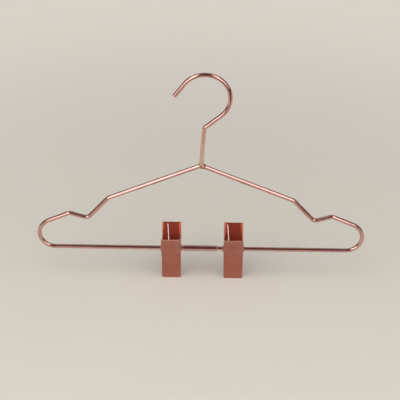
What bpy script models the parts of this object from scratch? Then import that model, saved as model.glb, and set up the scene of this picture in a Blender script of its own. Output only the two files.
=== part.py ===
"""A wire hanger with two sprung clips that slide and swing on its bar.

Metres, +X to the hanger's right, -Y towards the viewer, +Z up. The origin is the highest point of the hook's
inside, where the rail bears. The frame is laid out from the bar's axis and the clips from their own pivots.
"""

from math import acos, atan2, ceil, cos, pi, radians, sin

import bmesh
import bpy
from mathutils import Vector

# Wire frame: overall sizes, and the corners of each side as shares of the half span and the junction's height
OVERALL_WIDTH = 0.350
WIRE_DIAMETER = 0.0045
JUNCTION_HEIGHT = 0.1015
LOOP_RADIUS = 0.0167
SHOULDER_SHARES = (0.5685, 0.599)
NOTCH_SHARES = (0.6975, 0.356)
LIP_SHARES = (0.809, 0.413)
SHOULDER_BEND = 0.008
NOTCH_BEND = 0.006
NECK_BEND = 0.004

# Hook: its radius is the wire's centre line, and its centre lies above the junction and right of the middle
HOOK_RADIUS = 0.026
HOOK_RISE = 0.0783
HOOK_OFFSET = 0.0036
HOOK_TIP_LENGTH = 0.0176
HOOK_TIP_ANGLE = radians(143)
HOOK_EXIT_ANGLE = radians(-50)
CRANK_OUT = 0.0032
CRANK_BEND = 0.005

# Joints of the frame: the tube over the wire ends, and the bead at the neck
JOINT_GAP = 0.0003
SLEEVE_LENGTH = 0.0368
SLEEVE_SHIFT = -0.0005
SLEEVE_WALL = 0.0006
SLEEVE_CHAMFER = 0.0002
BEAD_LENGTH = 0.0052
BEAD_HEIGHT = 0.0005
COPE_LENGTH = 0.015

# Clips: the bar's free length between each one's pivot and the sleeve, and the stamped sheet
LEFT_CLIP_GAP = 0.0011
RIGHT_CLIP_GAP = 0.0061
SHEET = 0.0008
CLIP_WIDTH = 0.0210
JAW_TIP_WIDTH = 0.0202
CORNER_RADIUS = 0.0012
BAND_WIDTH = 0.0025
BAND_TURN = radians(15)
FINGER_RISE = 0.0203
FINGER_SPREAD = 0.0378
FINGER_FLANGE = 0.0017
JAW_DROP = 0.0360
JAW_STRAIGHT = 0.0148
JAW_BEND = 0.025
EDGE_GAP = 0.0009
EAR_RADIUS = 0.005
EAR_FOOT_FLANGE = 0.0054
NEST_GAP = 0.0003
ROLL_RADIUS = 0.0015
ROLL_TURN = radians(32)

# Pivot: a hollow rivet round the bar, through the four ears
RUNNING_GAP = 0.0003
PIVOT_WALL = 0.0005
HEAD_HEIGHT = 0.0007
HEAD_THICKNESS = 0.0006
HEAD_FLARE = 0.0002

# Torsion spring round the pivot, with a leg behind each finger end
SPRING_WIRE = 0.0014
SPRING_TURNS = 3
SPRING_PITCH = 0.00195
LEG_INSET = 0.0017
LEG_SPLAY = 0.0013
LEG_HOOK = 0.0012
LEFT_SPRING_SHIFT = 0.0009
RIGHT_SPRING_SHIFT = -0.0012

# Grip pads inside the jaws
PAD_THICKNESS = 0.0016
PAD_LENGTH = 0.0140
PAD_WIDTH = 0.0150
PAD_CHAMFER = 0.0004
GRIP_GAP = 0.0003
RIDGES = 6
RIDGE_DEPTH = 0.0005

# Facets of the round forms
WIRE_SIDES = 16
TUBE_SIDES = 24
CURL_POINTS = 10
CORNER_STEPS = 4
BAND_STEPS = 2
BEND_STEP = radians(8)
SMOOTH_ANGLE = radians(35)

# Worked out from the sizes above
WIRE_RADIUS = WIRE_DIAMETER / 2
HALF_SPAN = OVERALL_WIDTH / 2 - WIRE_RADIUS
HOOK_CENTRE = Vector((HOOK_OFFSET, JUNCTION_HEIGHT + HOOK_RISE))
BAR_DROP = HOOK_CENTRE.y + HOOK_RADIUS - WIRE_RADIUS
JUNCTION = Vector((0, JUNCTION_HEIGHT))
PIVOT_BORE_RADIUS = WIRE_RADIUS + RUNNING_GAP
PIVOT_RADIUS = PIVOT_BORE_RADIUS + PIVOT_WALL
EAR_BORE_RADIUS = PIVOT_RADIUS + RUNNING_GAP
JAW_OUT = GRIP_GAP / 2 + PAD_THICKNESS + JOINT_GAP + SHEET
FINGER_OUT = FINGER_SPREAD / 2

COPPER = (0.56, 0.22, 0.16, 1)
STEEL = (0.62, 0.57, 0.54, 1)
GRIP = (0.10, 0.08, 0.07, 1)


def clear_scene():
    """Removes every object of the scene."""
    for obj in list(bpy.data.objects):
        bpy.data.objects.remove(obj, do_unlink=True)


def make_material(name, colour, roughness, metallic):
    """A Principled material of its own for one piece."""
    material = bpy.data.materials.new(name)
    material.use_nodes = True
    shader = material.node_tree.nodes["Principled BSDF"]
    shader.inputs["Base Color"].default_value = colour
    shader.inputs["Roughness"].default_value = roughness
    shader.inputs["Metallic"].default_value = metallic
    material.diffuse_color = colour
    return material


def copper(name):
    """The satin copper plating of the wire and the sheet."""
    return make_material(name, COPPER, 0.3, 1)


def place(obj, parent, material=None):
    """Links an object under its parent and gives it its material."""
    bpy.context.scene.collection.objects.link(obj)
    obj.parent = parent
    if material:
        obj.data.materials.append(material)
    return obj


def make_empty(name, location, parent=None):
    """A named reference point that pieces hang on."""
    empty = bpy.data.objects.new(name, None)
    empty.location = location
    return place(empty, parent)


def loft(name, rings, parent, material=None, wrap=False):
    """A closed solid through rings of equal count: capped at both ends, or joined end to end with wrap."""
    mesh = bpy.data.meshes.new(name)
    shape = bmesh.new()
    rows = [[shape.verts.new(point) for point in ring] for ring in rings]
    for row, following in zip(rows, rows[1:] + rows[:1] * wrap):
        for i in range(len(row)):
            shape.faces.new((row[i - 1], row[i], following[i], following[i - 1]))
    if not wrap:
        shape.faces.new(rows[0])
        shape.faces.new(rows[-1])
    bmesh.ops.recalc_face_normals(shape, faces=shape.faces)
    if shape.calc_volume(signed=True) < 0:
        bmesh.ops.reverse_faces(shape, faces=shape.faces)
    shape.to_mesh(mesh)
    shape.free()
    mesh.shade_smooth()
    mesh.set_sharp_from_angle(angle=SMOOTH_ANGLE)
    return place(bpy.data.objects.new(name, mesh), parent, material)


def cut(obj, cutter):
    """Cuts the cutter's shape out of the object."""
    cutter.hide_render = True
    cutter.display_type = "WIRE"
    modifier = obj.modifiers.new("cut_" + cutter.name, "BOOLEAN")
    modifier.operation = "DIFFERENCE"
    modifier.solver = "EXACT"
    modifier.object = cutter


def on_circle(centre, radius, angle):
    """The point of a flat circle at an angle from its first axis."""
    return centre + radius * Vector((cos(angle), sin(angle)))


def arc(centre, radius, start, end):
    """Points along an arc, a bend step or less apart."""
    steps = max(2, ceil(abs(end - start) / BEND_STEP))
    return [on_circle(centre, radius, start + (end - start) * i / steps) for i in range(steps + 1)]


def fillet(before, corner, after, radius):
    """The arc of a bend at the corner between two straight runs."""
    inwards = (before - corner).normalized()
    outwards = (after - corner).normalized()
    half = acos(max(-1, min(1, inwards.dot(outwards)))) / 2
    bisector = (inwards + outwards).normalized()
    centre = corner + bisector * (radius / sin(half))
    first = corner + inwards * (radius * cos(half) / sin(half)) - centre
    last = corner + outwards * (radius * cos(half) / sin(half)) - centre
    start = atan2(first.y, first.x)
    turn = (atan2(last.y, last.x) - start + pi) % (2 * pi) - pi
    return arc(centre, radius, start, start + turn)


def rounded(route):
    """A path through (point, bend radius) pairs, with a bend wherever the radius isn't zero."""
    path = []
    for i, (point, radius) in enumerate(route):
        if radius:
            path += fillet(route[i - 1][0], point, route[i + 1][0], radius)
        else:
            path.append(point)
    return path


def wire_rings(path, radius):
    """Round rings across a flat path in the hanger's plane."""
    rings = []
    for i, point in enumerate(path):
        before, after = path[max(i - 1, 0)], path[min(i + 1, len(path) - 1)]
        along = ((point - before).normalized() + (after - point).normalized()).normalized()
        across = Vector((-along.y, along.x))
        ring = []
        for k in range(WIRE_SIDES):
            angle = 2 * pi * k / WIRE_SIDES
            flat = point + across * (radius * cos(angle))
            ring.append(Vector((flat.x, radius * sin(angle), flat.y)))
        rings.append(ring)
    return rings


def turned_rings(profile, origin, axis, across):
    """A closed profile of (along, radius) pairs turned round an axis in the hanger's plane."""
    up = axis.cross(across)
    rings = []
    for k in range(TUBE_SIDES):
        angle = 2 * pi * k / TUBE_SIDES
        outwards = across * cos(angle) + up * sin(angle)
        rings.append([origin + axis * along + outwards * radius for along, radius in profile])
    return rings


def tube_profile(start, end, bore, outer, chamfer):
    """The section of a plain tube with chamfered outer ends."""
    return [
        (start, bore),
        (start, outer - chamfer),
        (start + chamfer, outer),
        (end - chamfer, outer),
        (end, outer - chamfer),
        (end, bore),
    ]


def mirrored(points, side):
    """Flat points for the hanger's right side, or mirrored for its left."""
    return [Vector((point.x * side, point.y)) for point in points]


def side_route(side, bar_end):
    """From the shoulder round the strap notch and the end loop to the bar's end, on one side."""
    shoulder, notch, lip = [
        Vector((across * HALF_SPAN, up * JUNCTION_HEIGHT))
        for across, up in (SHOULDER_SHARES, NOTCH_SHARES, LIP_SHARES)
    ]
    centre = Vector((HALF_SPAN - LOOP_RADIUS, LOOP_RADIUS))
    to_lip = lip - centre
    tangent_angle = atan2(to_lip.y, to_lip.x) - acos(LOOP_RADIUS / to_lip.length)
    loop = arc(centre, LOOP_RADIUS, tangent_angle, -pi / 2)
    corners = mirrored([shoulder, notch, lip], side)
    route = list(zip(corners, (SHOULDER_BEND, NOTCH_BEND, NOTCH_BEND)))
    route += [(point, 0) for point in mirrored(loop, side)]
    return route + [(Vector((bar_end, 0)), 0)]


def hook_route():
    """From the hook's tip round to the crank, as far as the neck."""
    curve = arc(HOOK_CENTRE, HOOK_RADIUS, HOOK_TIP_ANGLE, HOOK_EXIT_ANGLE)
    to_tip = Vector((-sin(HOOK_TIP_ANGLE), cos(HOOK_TIP_ANGLE)))
    exit_way = Vector((sin(HOOK_EXIT_ANGLE), -cos(HOOK_EXIT_ANGLE)))
    crank = curve[-1] + exit_way * ((CRANK_OUT - curve[-1].x) / exit_way.x)
    points = [curve[0] + to_tip * HOOK_TIP_LENGTH] + curve
    return [(point, 0) for point in points] + [(crank, CRANK_BEND)]


def neck_cutter(parent):
    """The neck's bend, thicker by the joint gap, which the pieces welded to it are cut by."""
    crank = hook_route()[-1][0]
    shoulder = side_route(-1, 0)[0][0]
    top = JUNCTION + (crank - JUNCTION).normalized() * COPE_LENGTH
    low = JUNCTION + (shoulder - JUNCTION).normalized() * COPE_LENGTH
    path = rounded([(top, 0), (JUNCTION, NECK_BEND), (low, 0)])
    return loft("neck_cutter", wire_rings(path, WIRE_RADIUS + JOINT_GAP), parent)


def make_frame(parent):
    """The two bent wires, the bead at the neck and the sleeve on the bar."""
    middle = SLEEVE_SHIFT
    left = hook_route() + [(JUNCTION, NECK_BEND)] + side_route(-1, middle - JOINT_GAP)
    loft("hook_wire", wire_rings(rounded(left), WIRE_RADIUS), parent, copper("hook_wire"))

    cutter = neck_cutter(parent)
    right = side_route(1, middle + JOINT_GAP)
    way = (right[0][0] - JUNCTION).normalized()
    path = rounded([(JUNCTION, 0), (JUNCTION + way * COPE_LENGTH, 0)] + right)
    right_wire = loft("right_wire", wire_rings(path, WIRE_RADIUS), parent, copper("right_wire"))
    cut(right_wire, cutter)

    bore = WIRE_RADIUS + JOINT_GAP
    dome = arc(Vector((1, 0)), 1, pi, 0)
    profile = [(BEAD_LENGTH / 2 * point.x, bore + BEAD_HEIGHT * point.y) for point in dome]
    origin = Vector((JUNCTION.x, 0, JUNCTION.y))
    axis = Vector((way.x, 0, way.y))
    rings = turned_rings(profile, origin, axis, Vector((0, 1, 0)))
    bead = loft("neck_weld", rings, parent, copper("neck_weld"), wrap=True)
    cut(bead, cutter)

    half = SLEEVE_LENGTH / 2
    profile = tube_profile(-half, half, bore, bore + SLEEVE_WALL, SLEEVE_CHAMFER)
    origin = Vector((SLEEVE_SHIFT, 0, 0))
    rings = turned_rings(profile, origin, Vector((1, 0, 0)), Vector((0, 1, 0)))
    loft("joining_sleeve", rings, parent, copper("joining_sleeve"), wrap=True)


def jaw_line():
    """The sheet's outer face in side view: its bend's centre, its lean, and where the straight finger starts.

    Points are (outwards from the clip's middle plane, up from the pivot).
    """
    centre = Vector((JAW_OUT + JAW_BEND, JAW_STRAIGHT - JAW_DROP))
    to_finger = Vector((FINGER_OUT, FINGER_RISE)) - centre
    lean = atan2(to_finger.y, -to_finger.x) - acos(JAW_BEND / to_finger.length)
    start = centre + JAW_BEND * Vector((-cos(lean), sin(lean)))
    return centre, lean, start


def tangent_to_ear(point, centre, side):
    """Where a flange's edge from the point meets the ear's arc, as an angle about the ear's centre."""
    away = point - centre
    return (atan2(away.y, away.x) - side * acos(EAR_RADIUS / away.length)) % (2 * pi)


def up_to_middle(point, lean):
    """The flange depth whose edge stops just short of the clip's middle plane."""
    return (point.x - EDGE_GAP / 2) / cos(lean)


def jaw_stations():
    """Steps along the sheet from jaw tip to finger roll.

    Each is (point on the outer face, lean, flange depth, share drawn in where the ears nest).
    """
    bend_centre, lean, start = jaw_line()
    along = Vector((sin(lean), cos(lean)))
    inwards = Vector((-cos(lean), sin(lean)))
    length = (Vector((FINGER_OUT, FINGER_RISE)) - start).length
    ear = Vector((-start.dot(along), -start.dot(inwards)))
    low = Vector((0, up_to_middle(start, lean)))
    foot = Vector((ear.x + EAR_RADIUS * 3 / 2, EAR_FOOT_FLANGE))
    first, last = tangent_to_ear(low, ear, 1), tangent_to_ear(foot, ear, -1)

    tip = Vector((JAW_OUT, -JAW_DROP))
    stations = [(tip, 0, up_to_middle(tip, 0), 0)]
    steps = ceil(lean / BEND_STEP) + 1
    for i in range(steps + 1):
        angle = lean * i / steps
        point = bend_centre + JAW_BEND * Vector((-cos(angle), sin(angle)))
        stations.append((point, angle, up_to_middle(point, angle), i / steps))
    for edge in arc(ear, EAR_RADIUS, first, last):
        stations.append((start + along * edge.x, lean, edge.y, 1))
    top = on_circle(ear, EAR_RADIUS, last)
    nest_end = top.lerp(foot, (ear.x + EAR_RADIUS + NEST_GAP - top.x) / (foot.x - top.x))
    stations.append((start + along * nest_end.x, lean, nest_end.y, 1))
    stations.append((start + along * foot.x, lean, foot.y, 0))
    end = Vector((length, FINGER_FLANGE))
    for share in (0.7, 0.85, 1):
        place = foot.lerp(end, share)
        stations.append((start + along * place.x, lean, place.y, 0))

    roll_centre = start + along * length - inwards * ROLL_RADIUS
    for i in (1, 2, 3):
        angle = lean + ROLL_TURN * i / 3
        point = roll_centre + ROLL_RADIUS * Vector((-cos(angle), sin(angle)))
        stations.append((point, angle, FINGER_FLANGE, 0))
    return stations


def channel_section(half_width, depth):
    """Half of a channel's section, outside then inside: (across, in from the outer face) points.

    The face falls back in a band along each side, and then turns into the flange.
    """
    band = BAND_WIDTH / sin(BAND_TURN)
    fall = band * (1 - cos(BAND_TURN))
    corner = min(CORNER_RADIUS, (depth - SHEET / 4 - fall) / cos(BAND_TURN))
    corner_centre = Vector((half_width - corner, fall + corner * cos(BAND_TURN)))
    band_centre = Vector((corner_centre.x + corner * sin(BAND_TURN) - BAND_WIDTH, band))
    edge_of_band = BAND_TURN - pi / 2
    spots = [(corner_centre, corner, edge_of_band * i / CORNER_STEPS) for i in range(CORNER_STEPS + 1)]
    for i in range(1, BAND_STEPS + 1):
        spots.append((band_centre, band, edge_of_band - BAND_TURN * i / BAND_STEPS))
    outside = [Vector((half_width, depth))]
    inside = [Vector((half_width - SHEET, depth))]
    for centre, radius, angle in spots:
        outside.append(on_circle(centre, radius, angle))
        inside.append(on_circle(centre, radius - SHEET, angle))
    return outside, inside


def half_width(height):
    """Half of a clip's width at a height from its pivot: full from the ears up, and less at the jaw's tip."""
    share = min(1, (height + JAW_DROP) / (JAW_DROP - EAR_RADIUS))
    return (JAW_TIP_WIDTH + (CLIP_WIDTH - JAW_TIP_WIDTH) * share) / 2


def make_jaw(name, facing, nested, parent):
    """One stamped jaw: a channel with rounded corners, two ears and a curled finger end.

    A nested jaw is drawn in round the pivot, so that its ears lie inside the other's.
    """
    rings = []
    for point, lean, depth, drawn_in in jaw_stations():
        inwards = Vector((-cos(lean), sin(lean)))
        outer = half_width(point.y) - (SHEET + NEST_GAP) * drawn_in * nested
        outside, inside = channel_section(outer, depth)
        loop = [(p.x, p.y) for p in outside] + [(-p.x, p.y) for p in outside[::-1]]
        loop += [(-p.x, p.y) for p in inside] + [(p.x, p.y) for p in inside[::-1]]
        ring = []
        for across, inset in loop:
            at = point + inwards * inset
            ring.append(Vector((across, facing * at.x, at.y)))
        rings.append(ring)
    return loft(name, rings, parent, copper(name))


def make_pad(name, facing, parent):
    """A soft pad with ridges across its gripping face."""
    grip = GRIP_GAP / 2
    back = grip + PAD_THICKNESS
    bottom = JOINT_GAP - JAW_DROP
    top = bottom + PAD_LENGTH
    profile = [(back, top), (back, bottom), (grip + PAD_CHAMFER, bottom), (grip, bottom + PAD_CHAMFER)]
    pitch = (PAD_LENGTH - 2 * PAD_CHAMFER) / RIDGES
    for i in range(1, RIDGES):
        height = bottom + PAD_CHAMFER + pitch * i
        profile += [(grip, height - RIDGE_DEPTH), (grip + RIDGE_DEPTH, height), (grip, height + RIDGE_DEPTH)]
    profile += [(grip, top - PAD_CHAMFER), (grip + PAD_CHAMFER, top)]
    rings = [
        [Vector((x, facing * out, up)) for out, up in profile]
        for x in (-PAD_WIDTH / 2, PAD_WIDTH / 2)
    ]
    return loft(name, rings, parent, make_material(name, GRIP, 0.6, 0))


def make_pivot(name, parent):
    """The hollow rivet on the bar, with a flared head outside each front ear."""
    inner = CLIP_WIDTH / 2 + NEST_GAP
    end = inner + HEAD_THICKNESS
    head = PIVOT_RADIUS + HEAD_HEIGHT
    side = [(inner, PIVOT_RADIUS), (inner, head), (end - HEAD_FLARE, head)]
    side += [(end, head - HEAD_FLARE), (end, PIVOT_BORE_RADIUS + HEAD_FLARE)]
    side.append((end - HEAD_FLARE, PIVOT_BORE_RADIUS))
    profile = side + [(-along, radius) for along, radius in side[::-1]]
    rings = turned_rings(profile, Vector((0, 0, 0)), Vector((1, 0, 0)), Vector((0, 1, 0)))
    return loft(name, rings, parent, copper(name), wrap=True)


def spring_leg(coil_radius, half_coil):
    """The rear leg: the angle where it leaves the coil, and its points from there to its hooked end."""
    start, lean = jaw_line()[2], jaw_line()[1]
    along = Vector((sin(lean), cos(lean)))
    inwards = Vector((-cos(lean), sin(lean)))
    finger = Vector((FINGER_OUT, FINGER_RISE))
    seat = finger - along * LEG_INSET + inwards * (SHEET + JOINT_GAP + SPRING_WIRE / 2)
    leave = atan2(seat.y, seat.x) - acos(coil_radius / seat.length)
    foot = on_circle(Vector((0, 0)), coil_radius, leave)
    points = []
    for i in (1, 2, 3):
        points.append(Vector((-half_coil - LEG_SPLAY * i / 3, *foot.lerp(seat, i / 3))))
    turn = points[-1] + Vector((-LEG_HOOK / 2, *(along * (LEG_HOOK / 2))))
    return leave, points + [turn, turn + Vector((-LEG_HOOK, 0, 0))]


def spring_path():
    """The whole spring's centre line: front leg, coil, rear leg."""
    coil_radius = PIVOT_RADIUS + RUNNING_GAP + SPRING_WIRE / 2
    leave, _ = spring_leg(coil_radius, 0)
    sweep = 2 * pi * SPRING_TURNS + pi + 2 * leave
    half_coil = SPRING_PITCH * sweep / (4 * pi)
    _, rear = spring_leg(coil_radius, half_coil)
    front = [Vector((-p.x, -p.y, p.z)) for p in rear[::-1]]
    steps = ceil(CURL_POINTS * sweep / (2 * pi))
    coil = []
    for i in range(steps + 1):
        angle = leave - sweep * (1 - i / steps)
        x = half_coil * (1 - 2 * i / steps)
        coil.append(Vector((x, coil_radius * cos(angle), coil_radius * sin(angle))))
    return front + coil + rear


def least_gap(path, diameter):
    """The smallest space between stretches of a tube that lie more than a few diameters apart along it."""
    samples, travelled = [], 0.0
    for a, b in zip(path, path[1:]):
        for i in range(8):
            samples.append((travelled + (b - a).length * i / 8, a.lerp(b, i / 8)))
        travelled += (b - a).length
    gap = travelled
    for i, (place_a, a) in enumerate(samples):
        for place_b, b in samples[i + 1:]:
            if place_b - place_a > 3 * diameter:
                gap = min(gap, (b - a).length - diameter)
    return gap


def make_spring(name, shift, parent):
    """The torsion spring, one unbroken tube."""
    path = spring_path()
    print(f"{name}: least gap to itself {least_gap(path, SPRING_WIRE) * 1000:.2f} mm")
    curve = bpy.data.curves.new(name, "CURVE")
    curve.dimensions = "3D"
    curve.bevel_depth = SPRING_WIRE / 2
    curve.bevel_resolution = 1
    curve.use_fill_caps = True
    spline = curve.splines.new("POLY")
    spline.points.add(len(path) - 1)
    for point, at in zip(spline.points, path):
        point.co = (*at, 1)
    spring = place(bpy.data.objects.new(name, curve), parent, make_material(name, STEEL, 0.25, 1))
    spring.location.x = shift
    return spring


def ear_cutter(name, parent):
    """The rod that bores the pivot's holes through a jaw's two ears."""
    ends = [(-CLIP_WIDTH, EAR_BORE_RADIUS), (CLIP_WIDTH, EAR_BORE_RADIUS)]
    turned = turned_rings(ends, Vector((0, 0, 0)), Vector((1, 0, 0)), Vector((0, 1, 0)))
    return loft(name, list(zip(*turned)), parent)


def make_clip(side, x, spring_shift, parent):
    """One clip: the rivet on the bar, two nested jaws, their pads and the spring."""
    clip = make_empty(side + "_clip", (x, 0, 0), parent)
    cutter = ear_cutter(side + "_ear_cutter", clip)
    make_pivot(side + "_pivot_tube", clip)
    cut(make_jaw(side + "_rear_jaw", 1, True, clip), cutter)
    cut(make_jaw(side + "_front_jaw", -1, False, clip), cutter)
    make_pad(side + "_rear_pad", 1, clip)
    make_pad(side + "_front_pad", -1, clip)
    make_spring(side + "_spring", spring_shift, clip)


def main():
    clear_scene()
    hanger = make_empty("hanger", (-HOOK_OFFSET, 0, -BAR_DROP))
    make_frame(hanger)
    reach = SLEEVE_LENGTH / 2 + CLIP_WIDTH / 2 + NEST_GAP + HEAD_THICKNESS
    make_clip("left", SLEEVE_SHIFT - reach - LEFT_CLIP_GAP, LEFT_SPRING_SHIFT, hanger)
    make_clip("right", SLEEVE_SHIFT + reach + RIGHT_CLIP_GAP, RIGHT_SPRING_SHIFT, hanger)


main()
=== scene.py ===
"""Looks of a copper-plated wire hanger with two sprung clips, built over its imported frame.

Metres. +X is the hanger's right, -Y faces the viewer and +Z is up, from the seat of the rail inside the hook.
"""
import logging
from dataclasses import dataclass, field, replace
from enum import Enum
from math import acos, atan2, ceil, cos, pi, radians, sin, tan
from typing import Any, Iterable, Sequence

import bmesh
import bpy
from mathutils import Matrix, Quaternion, Vector


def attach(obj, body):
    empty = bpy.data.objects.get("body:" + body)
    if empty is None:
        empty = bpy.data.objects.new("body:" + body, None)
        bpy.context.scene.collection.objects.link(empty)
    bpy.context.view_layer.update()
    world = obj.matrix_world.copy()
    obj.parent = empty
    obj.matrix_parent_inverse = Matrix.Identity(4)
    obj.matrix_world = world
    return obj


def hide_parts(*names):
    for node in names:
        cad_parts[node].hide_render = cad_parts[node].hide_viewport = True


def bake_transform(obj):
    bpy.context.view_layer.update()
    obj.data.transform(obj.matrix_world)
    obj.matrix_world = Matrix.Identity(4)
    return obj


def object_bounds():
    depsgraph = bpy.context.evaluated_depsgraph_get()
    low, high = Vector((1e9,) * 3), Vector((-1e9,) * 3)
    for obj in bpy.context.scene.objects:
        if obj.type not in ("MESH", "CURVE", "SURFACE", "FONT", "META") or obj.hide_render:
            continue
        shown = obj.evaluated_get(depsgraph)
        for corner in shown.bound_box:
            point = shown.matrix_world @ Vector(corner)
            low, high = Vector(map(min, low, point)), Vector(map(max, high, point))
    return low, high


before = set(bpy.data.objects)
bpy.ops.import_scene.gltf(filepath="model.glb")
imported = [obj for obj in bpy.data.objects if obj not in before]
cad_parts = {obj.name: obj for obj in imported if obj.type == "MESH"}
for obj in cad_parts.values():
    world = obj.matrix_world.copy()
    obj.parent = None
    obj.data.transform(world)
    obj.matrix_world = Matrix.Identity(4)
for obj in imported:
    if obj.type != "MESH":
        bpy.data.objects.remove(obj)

CAD_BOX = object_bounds()
LOG = logging.getLogger("hanger")

Colour = tuple[float, float, float]
Profile = Sequence[tuple[float, float, float]]
Route = list[tuple[Vector, float]]
Socket = bpy.types.NodeSocket

BAR_MIDDLE = Vector((-0.0036, 0.0, -0.20355))
BAR_WAY = Vector((1.0, 0.0, 0.0))
WIRE_RADIUS = 0.00225

# Where the torch heated the neck, and how far off its tint still shows.
HOT_SPOT = Vector((-0.0020, 0.0, -0.078))
HOT_REACH = 0.031

# How finely round shapes are cut, and the sharpest edge that still shades as smooth.
WIRE_SIDES = 40
SPRING_SIDES = 20
TURNED_SIDES = 64
BORE_SIDES = 48
NOSE_STEPS = 4
FINE_STEP = radians(3)
SOFT_EDGE = radians(50)

# A cut edge's rounding: how far back from the edge and how much thinner, in shares of it, and the rim there.
CUT_EDGE = ((0.0, 1.0, 1.0), (0.3, 0.3, 1.0), (1.0, 0.0, 0.8))

# What the camera and the lamps look at, and the pale backdrop that the camera sees beyond the near floor.
VIEW_MIDDLE = Vector((-0.00445, 0.0, -0.14359))
BACKDROP: Colour = (0.69, 0.645, 0.575)
PHOTO_PIXELS = 400.0
NODE_SPACING = 220


class Half(Enum):
    """One of two opposite halves, by the sign of its axis."""

    @property
    def word(self) -> str:
        """The half's name as the CAD nodes spell it."""
        return self.name.lower()


class Side(Half):
    """The hanger's two halves, by the sign of X."""

    LEFT = -1
    RIGHT = 1


class Facing(Half):
    """The two jaws of a clip, by the sign of Y."""

    FRONT = -1
    REAR = 1


class Slot(Enum):
    """The record's material slots of the metal pieces."""

    WIRE = "plated_wire"
    SHEET = "plated_sheet"
    SPRING = "spring_steel"


def smooth_share(share: float) -> float:
    """A share from 0 to 1, eased at both ends."""
    share = max(0.0, min(1.0, share))
    return share * share * (3 - 2 * share)


def on_circle(centre: Vector, radius: float, angle: float) -> Vector:
    """A point of a flat circle, at an angle from its first axis."""
    return centre + radius * Vector((cos(angle), sin(angle)))


def evenly_round(radius: float, count: int) -> list[tuple[float, float]]:
    """Places spread evenly round a circle about 0."""
    turns = [2 * pi * k / count for k in range(count)]
    return [(radius * cos(turn), radius * sin(turn)) for turn in turns]


def arc(centre: Vector, radius: float, start: float, end: float, step: float = FINE_STEP) -> list[Vector]:
    """Points along a flat arc.

    Args:
        centre: the arc's middle.
        radius: its radius.
        start: the first angle.
        end: the last angle.
        step: the most that two neighbours are apart.

    Returns:
        The points, both ends included.
    """
    count = max(2, ceil(abs(end - start) / step))
    return [on_circle(centre, radius, start + (end - start) * i / count) for i in range(count + 1)]


def bend(before: Vector, corner: Vector, after: Vector, radius: float) -> list[Vector]:
    """The round that takes the place of a corner between two straight runs.

    Args:
        before: a point on the run that comes in.
        corner: where the two runs would meet.
        after: a point on the run that goes out.
        radius: the bend's radius on its centre line.

    Returns:
        Points of the bend, in three dimensions.
    """
    inwards = (before - corner).normalized()
    outwards = (after - corner).normalized()
    half = acos(max(-1.0, min(1.0, inwards.dot(outwards)))) / 2
    centre = corner + (inwards + outwards).normalized() * (radius / sin(half))
    first = corner + inwards * (radius / tan(half)) - centre
    last = corner + outwards * (radius / tan(half)) - centre
    sweep = pi - 2 * half
    way = (last - first * cos(sweep)) / sin(sweep)
    count = max(2, ceil(sweep / FINE_STEP))
    turns = [sweep * i / count for i in range(count + 1)]
    return [centre + first * cos(turn) + way * sin(turn) for turn in turns]


def follow(route: Route) -> list[Vector]:
    """A path through corners.

    Args:
        route: each corner with its bend's radius, which is 0 at a plain point.

    Returns:
        The path's points.
    """
    path: list[Vector] = []
    for i, (point, radius) in enumerate(route):
        if radius:
            path += bend(route[i - 1][0], point, route[i + 1][0], radius)
        else:
            path.append(point)
    return path


def with_rests(path: Sequence[Vector], reach: float) -> list[Vector]:
    """A path with points added just inside both ends of its long runs, so that these shade as straight.

    Args:
        path: the path's points.
        reach: how far from its ends a run gets its new points. A run is long from four times that.

    Returns:
        All points of the path.
    """
    full = [path[0]]
    for before, after in zip(path, path[1:]):
        run = after - before
        if run.length > 4 * reach:
            step = run.normalized() * reach
            full += [before + step, after - step]
        full.append(after)
    return full


def ways_along(path: Sequence[Vector]) -> list[Vector]:
    """The way that a path runs at each of its points.

    Args:
        path: the path's points.

    Returns:
        As many directions.
    """
    ways = []
    for i, point in enumerate(path):
        into = (point - path[max(i - 1, 0)]).normalized()
        out = (path[min(i + 1, len(path) - 1)] - point).normalized()
        ways.append((into + out).normalized())
    return ways


def upright(flat: Vector) -> Vector:
    """A point of the hanger's plane, given from the bar's middle, in three dimensions."""
    return BAR_MIDDLE + Vector((flat.x, 0.0, flat.y))


def up_sheet(lean: float) -> Vector:
    """The way up a sheet that leans outwards, seen from the side."""
    return Vector((sin(lean), cos(lean)))


def into_sheet(lean: float) -> Vector:
    """The way from a leaning sheet's outer face to its inner one, seen from the side."""
    return Vector((-cos(lean), sin(lean)))


def put_in_scene(name: str, data: Any) -> bpy.types.Object:
    """Makes an object of a mesh, lamp or camera.

    Args:
        name: the object's name.
        data: what it shows.

    Returns:
        The object, in the scene.
    """
    obj = bpy.data.objects.new(name, data)
    bpy.context.scene.collection.objects.link(obj)
    return obj


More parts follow.
